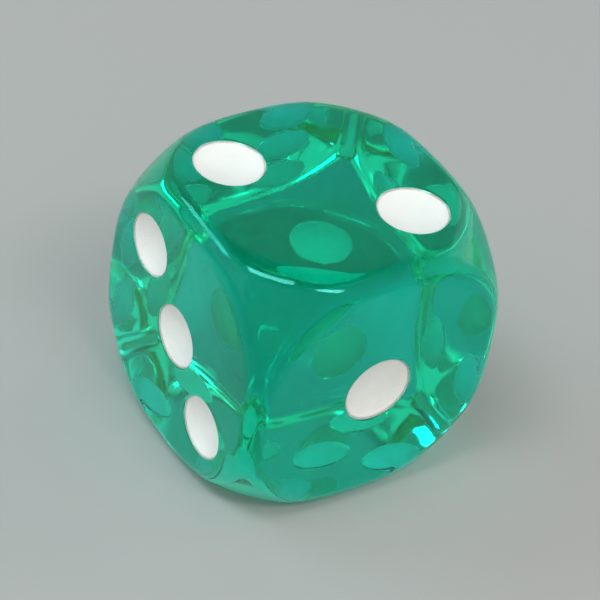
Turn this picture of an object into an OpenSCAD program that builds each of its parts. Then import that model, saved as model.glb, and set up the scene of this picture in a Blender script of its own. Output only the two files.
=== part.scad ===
// A round-cornered die: a clear green moulded body with white paint in the recess of every spot.
// Sizes are in millimetres. The die lies on its five, with the two up and the one in front.

/* [Body] */
// distance between opposite faces
edge = 16; // [15:0.5:24]
// how far the round trim takes each corner back
corner_cut = 2.65; // [2.2:0.05:2.8]
// round along the straight edges
edge_r = 1.3; // [0.8:0.1:1.6]
// round where a trimmed corner runs into a face
corner_r = 1; // [0.6:0.1:1.2]

/* [Spots] */
// width of the spot of the one
one_d = 4.2; // [3:0.1:5]
// width of the spots of the two
two_d = 4.1; // [3:0.1:4.3]
// width of the spots of the three to the six
spot_d = 3.7; // [2.8:0.1:3.9]
// from the sides of the die to the middle of a corner spot
spot_inset = 4.4; // [4.3:0.05:4.9]
// from the side of the die to the first spot in a row of the six
six_end_inset = 3.6; // [3.5:0.05:4]
// from the side of the die to a row of the six
six_row_inset = 4.95; // [4.9:0.05:5.8]

/* [Paint] */
// depth of the moulded recess
recess_depth = 0.7; // [0.5:0.05:0.9]
// thickness of the paint in the middle of a spot
paint_t = 0.15; // [0.1:0.05:0.3]
// width of the flat paint rim around the dish
rim_w = 0.1; // [0.05:0.05:0.2]

/* [Hidden] */
$fn = 96;
half = edge / 2;
// the rounds start this far outside the faces, so that they cross them at a clear angle
lap = 0.012;
ball_r = half * sqrt(3) - corner_cut;
// how far a cutter stands out of the face it cuts
cutter_top = 0.1;

words = ["one", "two", "three", "four", "five", "six"];
lie_along_y = [90, 0, 0];
lie_along_x = [0, 90, 0];
// how the top face is turned to each numbered face
turns = [[90, 0, 0], [0, 0, 0], [0, -90, 0], [0, 90, 0], [180, 0, 0], [-90, 0, 0]];

out = half - spot_inset;
six_row = half - six_row_inset;
six_step = half - six_end_inset;
middle = [[0, 0]];
falling = [[-out, out], [out, -out]];
rising = [[out, out], [-out, -out]];
rows_of_three = [for (side = [-1, 1]) for (i = [-1 : 1]) [side * six_row, i * six_step]];

function spots(n) =
  n == 1 ? middle :
  n == 2 ? falling :
  n == 3 ? concat(rising, middle) :
  n == 4 ? concat(falling, rising) :
  n == 5 ? concat(falling, rising, middle) :
  rows_of_three;

function width(n) = n == 1 ? one_d : n == 2 ? two_d : spot_d;
function pip_name(n, i) = n == 1 ? "pip_one" : str("pip_", words[n - 1], "_", i + 1);
// radius of the ball that makes a hollow of this width and depth
function hollow_r(d, depth) = (d * d / 4 + depth * depth) / (2 * depth);

body();
for (n = [1 : 6]) {
  for (i = [0 : n - 1]) {
    pip(n, i);
  }
}

module body() {
  color("mediumseagreen", 0.75)
    difference() {
      translate([0, 0, half]) blank();
      for (n = [1 : 6]) {
        for (i = [0 : n - 1]) {
          at_spot(n, i) hollow(width(n), recess_depth, cutter_top);
        }
      }
    }
}

module pip(n, i) {
  color("white")
    at_spot(n, i)
      difference() {
        hollow(width(n), recess_depth, 0);
        hollow(width(n) - 2 * rim_w, recess_depth - paint_t, cutter_top);
      }
}

// the moulded block before its spots, about its own middle
module blank() {
  intersection() {
    cube(edge, center = true);
    sphere(r = ball_r);
    edge_rounds();
    rotate(lie_along_y) edge_rounds();
    rotate(lie_along_x) edge_rounds();
    face_rounds();
    rotate(lie_along_y) face_rounds();
    rotate(lie_along_x) face_rounds();
  }
}

// square bar with its four edges rounded
module edge_rounds() {
  flat = half + lap - edge_r;
  linear_extrude(height = 2 * edge, center = true) {
    square([2 * (half + lap), 2 * flat], center = true);
    square([2 * flat, 2 * (half + lap)], center = true);
    for (x = [-flat, flat]) {
      for (y = [-flat, flat]) {
        translate([x, y]) circle(r = edge_r);
      }
    }
  }
}

// turned block with two flat ends, and a round from each end into the round trim of the corners
module face_rounds() {
  top = half + lap;
  round_z = top - corner_r;
  round_x = sqrt(pow(ball_r + lap - corner_r, 2) - round_z * round_z);
  lean = atan2(round_x, round_z);
  cone_r = ball_r + lap / 2;
  cone_x = cone_r * sin(lean);
  cone_z = cone_r * cos(lean);
  rotate_extrude() {
    translate([0, -top]) square([round_x, 2 * top]);
    polygon([[0, 0], [cone_x, -cone_z], [cone_r / sin(lean), 0], [cone_x, cone_z]]);
    for (z = [-round_z, round_z]) {
      translate([round_x, z]) circle(r = corner_r);
    }
  }
}

module at_spot(n, i) {
  translate([0, 0, half])
    rotate(turns[n - 1])
      translate([spots(n)[i][0], spots(n)[i][1], half])
        children();
}

// cap of a ball: a hollow of this width at the face, closed at a height over the face
module hollow(d, depth, top) {
  r = hollow_r(d, depth);
  intersection() {
    translate([0, 0, r - depth]) sphere(r = r);
    translate([0, 0, -2 * depth]) cylinder(d = 2 * d, h = 2 * depth + top);
  }
}
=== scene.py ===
"""A round-cornered die of clear green plastic with dished white spots, dressed over its solids.

Lengths inside the shape functions are in millimetres about the middle of the die. They turn into
metres in the frame of the solids when a mesh is made.
"""
import math

import bmesh
import bpy
import numpy as np
from mathutils import Matrix, Vector, noise
from mathutils.geometry import delaunay_2d_cdt


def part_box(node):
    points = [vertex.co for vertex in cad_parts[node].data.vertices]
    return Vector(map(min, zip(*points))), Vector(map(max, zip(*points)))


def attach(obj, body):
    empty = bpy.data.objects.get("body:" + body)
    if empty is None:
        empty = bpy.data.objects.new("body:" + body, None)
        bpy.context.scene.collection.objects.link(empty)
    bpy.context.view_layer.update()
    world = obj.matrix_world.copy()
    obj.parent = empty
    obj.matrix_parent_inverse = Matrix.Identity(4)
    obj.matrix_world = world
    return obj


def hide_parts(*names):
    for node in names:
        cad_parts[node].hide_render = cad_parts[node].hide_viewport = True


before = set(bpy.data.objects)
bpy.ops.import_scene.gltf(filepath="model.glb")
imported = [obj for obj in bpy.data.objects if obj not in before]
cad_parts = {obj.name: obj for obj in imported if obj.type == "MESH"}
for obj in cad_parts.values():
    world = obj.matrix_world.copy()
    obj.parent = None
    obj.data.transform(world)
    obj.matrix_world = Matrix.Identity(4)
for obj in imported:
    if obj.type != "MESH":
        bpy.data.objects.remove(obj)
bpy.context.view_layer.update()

MM = 0.001

# moulded block
EDGE_ROUND = 1.1        # round along the straight edges
TRIM_BALL = 11.206      # radius of the ball that trims the corners
SOFTENING = 0.65        # how far the trim and the faces melt into each other
LATTICE = 112           # steps across a face where it bends
FLAT_LATTICE = 14       # steps across a face where it is flat
HOLE_MARGIN = 0.6       # steps that stay clear around a hole
INSIDE, OUTSIDE = 0.6, 1.02   # every ray leaves the block between these shares of the half edge
HALVINGS = 48           # how often that stretch is halved to find the surface
SEAM = 1e-4             # points closer than this become one

# painted spots
SPOT_SIDES = 72         # corners around a spot
RIM_ROUND = 0.05        # worn edge of a recess
RECESS_RINGS = (0.35 * RIM_ROUND, 1.2 * RIM_ROUND, 0.2, 0.42, 0.6)   # depths under the face
PAINT_DEPTH = 0.03      # how far under the face the paint ends
PAINT_UNEVEN = 0.05     # how much deeper it ends in places
NOISE_WALK = 1.4        # a longer walk through the noise makes more waves along the paint's edge
NOISE_SPREAD = 1.7      # keeps the edges of the spots unlike each other
DISH_DEPTH = 0.55       # depth of the dish in the paint
PAINT_GRIP = 0.02       # how far the paint reaches into the plastic, so that no air shows between
BACK_RINGS = (1.0, 0.8, 0.55, 0.3)   # shares of the paint's radius
FRONT_RINGS = (1.0, 0.985, 0.96, 0.92, 0.86, 0.76, 0.62, 0.45, 0.25)

# clean and smudged plastic, fresh and rubbed paint
PLASTIC_TONES = (0.94, 0.99, 0.97), (0.85, 0.96, 0.93)
PLASTIC_ROUGHNESS = 0.045, 0.085
PAINT_TONES = (0.92, 0.925, 0.915), (0.72, 0.76, 0.73)
PAINT_ROUGHNESS = 0.34, 0.62
RIPPLE_HEIGHT = 0.025   # moulded ripple of the plastic
PEEL_HEIGHT = 0.006     # orange peel of the paint
MIX_FIRST, MIX_SECOND, MIX_RESULT = 6, 7, 2   # colour sockets of a Mix node

# light: directions from the die, lengths in metres, power in watts
CEILING_WHITE = (0.96, 0.99, 1.0)
WINDOW_BLUE = (0.4, 0.88, 1.0)
LAMPS = {
    "ceiling_tube": dict(direction=(-0.03, -0.56, 0.82), turn=(0.73, -0.67, -0.11), distance=0.5,
                         size=0.22, size_y=0.06, power=0.57, colour=CEILING_WHITE),
    "ceiling_panel": dict(direction=(-0.39, -0.07, 0.92), turn=(0.6, -0.74, 0.27), distance=0.5,
                          size=0.21, size_y=0.11, power=0.76, colour=CEILING_WHITE),
    "window": dict(direction=(-0.5, 0.575, 0.65), turn=(0.755, 0.656, 0), distance=0.5,
                   size=0.26, size_y=0.09, power=0.48, colour=WINDOW_BLUE),
    "left_box": dict(direction=(-0.85, 0.3, 0.45), distance=0.6, size=0.5, size_y=0.4, power=0.45),
    "right_box": dict(direction=(0.95, 0.1, 0.3), distance=0.6, size=0.5, size_y=0.4, power=0.4),
}
ROOM_COLOUR = (1.0, 0.97, 0.88, 1)
WALLS_IN_FRONT, WALLS_BEHIND = 0.8, 0.36   # strength of their light
CEILING_SHARE = 0.2     # how much of the walls' light the ceiling gives
DEEPEST_PATH = 48       # turns that a ray of light may take

# floor, in metres
FLOOR_REACH = 1.2       # from its middle to its sides
FLOOR_GAP = 0.00002     # between the die and the floor, so that they don't share a plane
FLOOR_GREY = (0.44, 0.44, 0.44, 1)

# photograph
CAMERA_PLACE = (-8.78, -10.986, 11.525)   # from the middle of the die, in half edges
CAMERA_UP = (0.2457, 0.6017, 0.7604)
CAMERA_LENS = 158.0     # millimetres


def body_middle_and_half():
    low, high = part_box("body")
    middle = [(a + b) / 2 for a, b in zip(low, high)]
    return np.array(middle) / MM, (high[2] - low[2]) / 2 / MM


MIDDLE, HALF = body_middle_and_half()


# shape of the moulded block

def outside_block(points):
    """How far points are outside the block: a round-edged cube melted into a ball."""
    q = np.abs(points) - (HALF - EDGE_ROUND)
    cube = np.linalg.norm(np.maximum(q, 0), axis=-1) + np.minimum(q.max(axis=-1), 0) - EDGE_ROUND
    ball = np.linalg.norm(points, axis=-1) - TRIM_BALL
    near = np.maximum(SOFTENING - np.abs(cube - ball), 0) / SOFTENING
    return np.maximum(cube, ball) + near * near * SOFTENING / 4


def block_surface(rays):
    """Where rays from the middle leave the block. A ray's longest part is 1."""
    low = np.full(len(rays), INSIDE * HALF)
    high = np.full(len(rays), OUTSIDE * HALF)
    for _ in range(HALVINGS):
        mid = (low + high) / 2
        out = outside_block(rays * mid[:, None]) > 0
        high = np.where(out, mid, high)
        low = np.where(out, low, mid)
    return rays * ((low + high) / 2)[:, None]


def block_normals(points):
    step = 1e-3
    slope = [outside_block(points + step * e) - outside_block(points - step * e) for e in np.eye(3)]
    normals = np.stack(slope, axis=-1)
    return normals / np.linalg.norm(normals, axis=1)[:, None]


def face_axes(axis, side):
    """Two directions along a face and its outward normal, right-handed."""
    normal = np.zeros(3)
    normal[axis] = side
    along = np.roll(normal, 1) * side
    return along, np.cross(normal, along), normal


def circle(radius):
    """Points around a spot of that radius."""
    turn = np.arange(SPOT_SIDES) * 2 * math.pi / SPOT_SIDES
    return np.stack([np.cos(turn), np.sin(turn)], axis=1) * radius


class Spot:
    """A painted recess, read from the box of its solid."""

    def __init__(self, node):
        low, high = (np.array(corner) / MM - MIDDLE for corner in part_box(node))
        size = high - low
        self.node = node
        self.axis = int(np.argmin(size))
        self.side = 1 if (low + high)[self.axis] > 0 else -1
        self.along, self.across, self.out = face_axes(self.axis, self.side)
        self.middle = (low + high) / 2
        self.middle[self.axis] = self.side * HALF
        self.radius = float(size.max() / 2)
        self.depth = float(size[self.axis])
        self.ball = (self.radius ** 2 + self.depth ** 2) / (2 * self.depth)

    def under(self, depth):
        """The point that far under the spot's middle."""
        return self.middle - depth * self.out

    def spokes(self):
        """Directions from the middle to the sides of the round."""
        return np.array([x * self.along + y * self.across for x, y in circle(1.0)])

    def ring(self, radius, depth):
        """Points around the spot. Radius and depth are numbers, or one for each side."""
        sides = np.ones((SPOT_SIDES, 1))
        radius, depth = sides * np.reshape(radius, (-1, 1)), sides * np.reshape(depth, (-1, 1))
        return self.middle + radius * self.spokes() - depth * self.out

    def wall(self, depth, grip=0.0):
        """Radius of the recess at that depth."""
        return math.sqrt(max((self.ball + grip) ** 2 - (self.ball - self.depth + depth) ** 2, 0))


SPOTS = [Spot(name) for name in sorted(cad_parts) if name != "body"]


class MeshMaker:
    """Gathers points, faces and the exact normal at every point."""

    def __init__(self):
        self.points, self.normals, self.faces = [], [], []

    def add(self, points, normals, faces):
        """Faces are turned to look the way of their normals."""
        start = sum(len(p) for p in self.points)
        points, normals = np.asarray(points), np.asarray(normals)
        first, second, third = np.array([face[:3] for face in faces]).T
        turned = np.cross(points[second] - points[first], points[third] - points[first])
        looks = (turned * (normals[first] + normals[second] + normals[third])).sum(axis=1)
        for face, look in zip(faces, looks):
            self.faces.append(tuple(start + i for i in (face if look > 0 else face[::-1])))
        self.points.append(points)
        self.normals.append(normals)

    def add_rings(self, rings, normals, middle, middle_normal):
        """Bands of four-sided faces between rings of points, closed by a fan at the middle."""
        sides = len(rings[0])
        points = np.concatenate([*rings, [middle]])
        point_normals = np.concatenate([*normals, [middle_normal]])
        faces = []
        for band in range(len(rings) - 1):
            for i in range(sides):
                j = (i + 1) % sides
                a, b = band * sides, (band + 1) * sides
                faces.append((a + i, a + j, b + j, b + i))
        last = (len(rings) - 1) * sides
        faces += [(last + i, last + (i + 1) % sides, len(points) - 1) for i in range(sides)]
        self.add(points, point_normals, faces)

    def make(self, name):
        points = np.concatenate(self.points)
        normals = np.concatenate(self.normals)
        mesh = bpy.data.meshes.new(name)
        mesh.from_pydata(((points + MIDDLE) * MM).tolist(), [], self.faces)
        mesh.polygons.foreach_set("use_smooth", [True] * len(mesh.polygons))
        # joining the seams renumbers the points, so every corner keeps its normal in a layer
        layer = mesh.attributes.new("exact_normal", "FLOAT_VECTOR", "CORNER")
        corner = np.array([i for face in self.faces for i in face])
        layer.data.foreach_set("vector", normals[corner].astype(np.float32).ravel())
        bm = bmesh.new()
        bm.from_mesh(mesh)
        bmesh.ops.remove_doubles(bm, verts=bm.verts, dist=SEAM * MM)
        bm.to_mesh(mesh)
        bm.free()
        kept = np.empty(len(mesh.loops) * 3, dtype=np.float32)
        mesh.attributes["exact_normal"].data.foreach_get("vector", kept)
        mesh.normals_split_custom_set(kept.reshape(-1, 3).tolist())
        mesh.attributes.remove(mesh.attributes["exact_normal"])
        piece = bpy.data.objects.new(name, mesh)
        bpy.context.scene.collection.objects.link(piece)
        return piece


def flat_reach(u, v):
    """Whether a direction meets the flat middle of its face."""
    rays = np.stack([u, v, np.ones_like(u)], axis=-1)
    square = np.maximum(np.abs(u), np.abs(v)) * HALF < HALF - EDGE_ROUND
    return square & (np.linalg.norm(rays * HALF, axis=-1) < TRIM_BALL - SOFTENING)


def face_points(holes):
    """Points of a face on its plane, close together where it bends and clear of the holes."""
    line = np.linspace(-1, 1, LATTICE + 1)
    u, v = (g.ravel() for g in np.meshgrid(line, line))
    step = LATTICE // FLAT_LATTICE
    keep = ~flat_reach(u, v)
    sparse = np.zeros((LATTICE + 1, LATTICE + 1), dtype=bool)
    sparse[step // 2::step, step // 2::step] = True
    keep |= sparse.ravel()
    for x, y, radius in holes:
        keep &= np.hypot(u - x, v - y) > radius + HOLE_MARGIN * (line[1] - line[0])
    return np.stack([u[keep], v[keep]], axis=1)


def add_face(maker, axis, side, spots):
    """One face of the block, with round holes for its spots."""
    along, across, out = face_axes(axis, side)
    holes = []
    for spot in spots:
        holes.append((spot.middle @ along / HALF, spot.middle @ across / HALF,
                      (spot.radius + RIM_ROUND) / HALF))
    flat = [face_points(holes)]
    bounds, count = [], len(flat[0])
    for x, y, radius in holes:
        flat.append(circle(radius) + (x, y))
        bounds += [(count + i, count + (i + 1) % SPOT_SIDES) for i in range(SPOT_SIDES)]
        count += SPOT_SIDES
    flat = np.concatenate(flat)
    found = delaunay_2d_cdt([Vector(p) for p in flat], bounds, [], 0, 1e-9, False)
    flat = np.array([tuple(p) for p in found[0]])
    faces = []
    for face in found[2]:
        x, y = flat[list(face)].mean(axis=0)
        if all(math.hypot(x - hx, y - hy) > radius * 0.9999 for hx, hy, radius in holes):
            faces.append(face)
    rays = flat[:, :1] * along + flat[:, 1:] * across + out
    points = block_surface(rays)
    maker.add(points, block_normals(points), faces)


def add_recess(maker, spot):
    """The hollow of a spot, from its worn rim to its middle."""
    centre = spot.under(spot.depth - spot.ball)
    rim = block_surface(spot.ring(spot.radius + RIM_ROUND, 0) / HALF)
    rings, normals = [rim], [block_normals(rim)]
    for depth in RECESS_RINGS:
        ring = spot.ring(spot.wall(depth), depth)
        lean = (centre - ring) / spot.ball
        if depth < RIM_ROUND:
            lean = lean + spot.out
            lean /= np.linalg.norm(lean, axis=1)[:, None]
        rings.append(ring)
        normals.append(lean)
    maker.add_rings(rings, normals, spot.under(spot.depth), spot.out)


def make_block():
    maker = MeshMaker()
    for axis in range(3):
        for side in (-1, 1):
            add_face(maker, axis, side, [s for s in SPOTS if (s.axis, s.side) == (axis, side)])
    for spot in SPOTS:
        add_recess(maker, spot)
    return maker.make("moulded_block")


def paint_edge(spot):
    """How deep under the face the paint ends, all around a spot."""
    seed = Vector(spot.middle) * NOISE_SPREAD
    uneven = [noise.noise(seed + Vector((x, y, 0))) for x, y in circle(NOISE_WALK)]
    return PAINT_DEPTH + PAINT_UNEVEN * (0.5 + 0.5 * np.array(uneven))


def dish_depth(share, edge):
    """Depth of the front of the paint at a share of its radius."""
    return edge + (DISH_DEPTH - edge) * (1 - share ** 2)


def add_paint_back(maker, spot, edge):
    """The side of the paint that grips the plastic, from its edge to its middle."""
    ball = spot.ball + PAINT_GRIP
    centre = spot.under(spot.depth - spot.ball)
    wall = np.array([spot.wall(depth, PAINT_GRIP) for depth in edge])
    rings = []
    for share in BACK_RINGS:
        depth = np.sqrt(ball ** 2 - (wall * share) ** 2) - (spot.ball - spot.depth)
        rings.append(spot.ring(wall * share, depth))
    maker.add_rings(rings, [(ring - centre) / ball for ring in rings],
                    spot.under(spot.depth + PAINT_GRIP), -spot.out)


def add_paint_front(maker, spot, edge):
    """The dished front of the paint, from its edge to its middle."""
    reach = np.array([spot.wall(depth, PAINT_GRIP) for depth in edge])
    rings, normals = [], []
    step = 1e-4
    for share in FRONT_RINGS:
        rings.append(spot.ring(reach * share, dish_depth(share, edge)))
        slope = (dish_depth(share + step, edge) - dish_depth(share - step, edge)) / (2 * step * reach)
        lean = spot.out + slope[:, None] * spot.spokes()
        normals.append(lean / np.linalg.norm(lean, axis=1)[:, None])
    maker.add_rings(rings, normals, spot.under(DISH_DEPTH), spot.out)


def make_paint(spot):
    """A coat of paint that lines a recess, with a dished front and an uneven edge."""
    maker = MeshMaker()
    edge = paint_edge(spot)
    add_paint_back(maker, spot, edge)
    add_paint_front(maker, spot, edge)
    return maker.make("paint_" + spot.node.removeprefix("pip_"))


# finishes

def add_node(tree, kind, inputs=None, **settings):
    """A node with its settings. Its inputs are set to values or linked to other nodes."""
    node = tree.nodes.new("ShaderNode" + kind)
    for name, value in settings.items():
        setattr(node, name, value)
    for name, value in (inputs or {}).items():
        if isinstance(value, bpy.types.NodeSocket):
            tree.links.new(value, node.inputs[name])
        else:
            node.inputs[name].default_value = value
    return node


def scaled_point(tree, per_mm):
    """The place on the piece, in steps of that many to the millimetre."""
    place = add_node(tree, "TexCoord").outputs["Object"]
    return add_node(tree, "VectorMath", {0: place, "Scale": per_mm / MM}, operation="SCALE").outputs[0]


def soft_noise(tree, per_mm, detail):
    return add_node(tree, "TexNoise", {"Vector": scaled_point(tree, per_mm), "Scale": 1.0,
                                       "Detail": detail}).outputs[0]


def between(tree, value, low, high, at_low=0.0, at_high=1.0):
    """Value moved from low..high to at_low..at_high, and held inside."""
    return add_node(tree, "MapRange", {"Value": value, "From Min": low, "From Max": high,
                                       "To Min": at_low, "To Max": at_high}).outputs[0]


def times(tree, first, second):
    return add_node(tree, "Math", {0: first, 1: second}, operation="MULTIPLY").outputs[0]


def plus(tree, first, second):
    return add_node(tree, "Math", {0: first, 1: second}, operation="ADD").outputs[0]


def hairlines(tree, place, turn):
    """Long thin scratches that run one way and come and go."""
    drawn = add_node(tree, "Mapping", {"Vector": place, "Rotation": turn, "Scale": (7, 0.5, 0.5)},
                     vector_type="TEXTURE").outputs[0]
    lines = add_node(tree, "TexNoise", {"Vector": drawn, "Scale": 1.0, "Detail": 1.0}).outputs[0]
    off = add_node(tree, "Math", {0: lines, 1: 0.5}, operation="SUBTRACT").outputs[0]
    thin = add_node(tree, "Math", {0: off}, operation="ABSOLUTE").outputs[0]
    patches = add_node(tree, "TexNoise", {"Vector": place, "Scale": 0.45, "Detail": 0.0}).outputs[0]
    return times(tree, between(tree, thin, 0.001, 0.008, 1, 0), between(tree, patches, 0.45, 0.65))


def fine_wear_group():
    """Handling marks that the plastic and the paint share, each as strong as its input says."""
    group = bpy.data.node_groups.new("fine_wear", "ShaderNodeTree")
    for mark in ("Smudge", "Scratch", "Speck"):
        group.interface.new_socket(mark + " Strength", in_out="INPUT", socket_type="NodeSocketFloat")
        group.interface.new_socket(mark, in_out="OUTPUT", socket_type="NodeSocketFloat")
    place = scaled_point(group, 1.0)
    soft = add_node(group, "TexNoise", {"Vector": place, "Scale": 0.4, "Detail": 4.0, "Roughness": 0.6})
    dots = add_node(group, "TexVoronoi", {"Vector": place, "Scale": 0.9})
    few = add_node(group, "SeparateColor", {"Color": dots.outputs["Color"]}).outputs[0]
    speck = times(group, between(group, dots.outputs["Distance"], 0.03, 0.07, 1, 0),
                  between(group, few, 0.6, 0.7))
    one_way = hairlines(group, place, (0.4, 0.7, 0.3))
    other_way = hairlines(group, place, (1.3, 0.2, 2.1))
    scratch = add_node(group, "Math", {0: one_way, 1: other_way}, operation="MAXIMUM").outputs[0]
    smudge = between(group, soft.outputs[0], 0.35, 0.7)
    strengths = group.nodes.new("NodeGroupInput").outputs
    output = group.nodes.new("NodeGroupOutput")
    for mark, mask in (("Smudge", smudge), ("Scratch", scratch), ("Speck", speck)):
        group.links.new(times(group, mask, strengths[mark + " Strength"]), output.inputs[mark])
    return group


def new_material(name, **values):
    """A material around one Principled shader with these plain values."""
    material = bpy.data.materials.new(name)
    material.use_nodes = True
    tree = material.node_tree
    tree.nodes.clear()
    shader = add_node(tree, "BsdfPrincipled", {k.replace("_", " "): v for k, v in values.items()})
    output = add_node(tree, "OutputMaterial", {"Surface": shader.outputs[0]})
    return material, tree, shader, output


def add_wear(tree, wear, **strengths):
    """The smudges, scratches and specks of a material, each in its own strength."""
    worn = tree.nodes.new("ShaderNodeGroup")
    worn.node_tree = wear
    for mark, strength in strengths.items():
        worn.inputs[mark + " Strength"].default_value = strength
    return worn.outputs["Smudge"], worn.outputs["Scratch"], worn.outputs["Speck"]


def add_finish(tree, shader, colours, colour_share, roughness, height, height_mm):
    """Links a blend of two colours, a roughness and a bump to the shader."""
    blend = add_node(tree, "Mix", {"Factor": colour_share}, data_type="RGBA")
    for socket, colour in zip((MIX_FIRST, MIX_SECOND), colours):
        blend.inputs[socket].default_value = (*colour, 1)
    tree.links.new(blend.outputs[MIX_RESULT], shader.inputs["Base Color"])
    tree.links.new(roughness, shader.inputs["Roughness"])
    bump = add_node(tree, "Bump", {"Height": height, "Distance": height_mm * MM, "Strength": 1.0})
    tree.links.new(bump.outputs[0], shader.inputs["Normal"])


def clear_green_plastic(wear):
    """Clear plastic that swallows red, with a moulded ripple and handling marks."""
    material, tree, shader, output = new_material(
        "clear_green_plastic", Transmission_Weight=1.0, IOR=1.5, Specular_Tint=(0.2, 1.0, 0.97, 1))
    smudge, scratch, speck = add_wear(tree, wear, Smudge=1.0, Scratch=0.12, Speck=0.2)
    marks = plus(tree, scratch, speck)
    roughness = plus(tree, between(tree, smudge, 0, 1, *PLASTIC_ROUGHNESS), marks)
    ripple = soft_noise(tree, per_mm=0.25, detail=1.0)
    height = plus(tree, ripple, times(tree, marks, -0.06))
    add_finish(tree, shader, PLASTIC_TONES, smudge, roughness, height, RIPPLE_HEIGHT)
    absorb = add_node(tree, "VolumeAbsorption", {"Color": (0.0, 0.986, 0.959, 1), "Density": 600.0})
    tree.links.new(absorb.outputs[0], output.inputs["Volume"])
    return material


def white_spot_paint(wear):
    """Thick white paint with a slight orange peel, pinholes and rubbed places."""
    material, tree, shader, _ = new_material("white_spot_paint")
    smudge, scratch, speck = add_wear(tree, wear, Smudge=0.35, Scratch=0.6, Speck=1.0)
    marks = plus(tree, scratch, speck)
    dulled = between(tree, plus(tree, smudge, times(tree, marks, 0.5)), 0, 1)
    roughness = between(tree, dulled, 0, 1, *PAINT_ROUGHNESS)
    peel = soft_noise(tree, per_mm=4.0, detail=2.0)
    height = plus(tree, peel, times(tree, marks, -1.5))
    add_finish(tree, shader, PAINT_TONES, dulled, roughness, height, PEEL_HEIGHT)
    return material


# studio

def soft_lamp(name, direction, distance, size, size_y, power, colour=(1, 1, 1), turn=None):
    """A flat lamp that faces the die. Its longer side runs the way of turn."""
    lamp = bpy.data.lights.new(name, "AREA")
    lamp.shape = "RECTANGLE"
    lamp.size, lamp.size_y = size, size_y
    lamp.energy = power
    lamp.color = colour
    holder = bpy.data.objects.new(name, lamp)
    target = Vector(MIDDLE) * MM
    away = Vector(direction).normalized()
    holder.location = target + away * distance
    if turn is None:
        holder.rotation_euler = (-away).to_track_quat("-Z", "Y").to_euler()
    else:
        side = Vector(turn).normalized()
        side = (side - away * side.dot(away)).normalized()
        up = away.cross(side)
        turned = Matrix((side, up, away)).transposed().to_4x4()
        holder.matrix_world = Matrix.Translation(holder.location) @ turned
    bpy.context.scene.collection.objects.link(holder)


def make_floor():
    mesh = bpy.data.meshes.new("floor")
    corners = ((-1, -1), (1, -1), (1, 1), (-1, 1))
    mesh.from_pydata([(x * FLOOR_REACH, y * FLOOR_REACH, 0) for x, y in corners], [], [(0, 1, 2, 3)])
    floor = bpy.data.objects.new("floor", mesh)
    bpy.context.scene.collection.objects.link(floor)
    mesh.materials.append(new_material("floor_paper", Base_Color=FLOOR_GREY, Roughness=0.8)[0])
    floor.location.z = -FLOOR_GAP


def make_world():
    """A room with a dark ceiling, and walls that are lighter in front of the die than behind it."""
    world = bpy.data.worlds.new("studio")
    bpy.context.scene.world = world
    world.use_nodes = True
    tree = world.node_tree
    room = tree.nodes["Background"]
    room.inputs["Color"].default_value = ROOM_COLOUR
    way = add_node(tree, "SeparateXYZ", {0: add_node(tree, "TexCoord").outputs["Generated"]}).outputs
    walls = between(tree, way["Y"], -0.1, 0.4, WALLS_IN_FRONT, WALLS_BEHIND)
    ceiling = between(tree, way["Z"], 0.72, 0.88, 1.0, CEILING_SHARE)
    tree.links.new(times(tree, walls, ceiling), room.inputs["Strength"])


def make_lamps():
    for name, lamp in LAMPS.items():
        soft_lamp(name, **lamp)


def make_camera():
    camera = bpy.data.cameras.new("camera")
    camera.lens = CAMERA_LENS
    holder = bpy.data.objects.new("camera", camera)
    away = Vector(CAMERA_PLACE)
    place = (Vector(MIDDLE) + away * HALF) * MM
    back = away.normalized()
    right = Vector(CAMERA_UP).cross(back).normalized()
    up = back.cross(right)
    holder.matrix_world = Matrix.Translation(place) @ Matrix((right, up, back)).transposed().to_4x4()
    camera.clip_start = 0.01
    bpy.context.scene.collection.objects.link(holder)
    bpy.context.scene.camera = holder


def let_light_wander():
    """Light is thrown back many times inside the clear block before it comes out."""
    cycles = bpy.context.scene.cycles
    cycles.max_bounces = cycles.glossy_bounces = cycles.transmission_bounces = DEEPEST_PATH


def main():
    wear = fine_wear_group()
    plastic = clear_green_plastic(wear)
    paint = white_spot_paint(wear)
    block = make_block()
    block.data.materials.append(plastic)
    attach(block, "root")
    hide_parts("body")
    for spot in SPOTS:
        coat = make_paint(spot)
        coat.data.materials.append(paint)
        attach(coat, "root")
        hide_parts(spot.node)
    make_floor()
    make_world()
    make_lamps()
    make_camera()
    let_light_wander()
    bpy.context.scene.view_settings.view_transform = "Standard"


main()
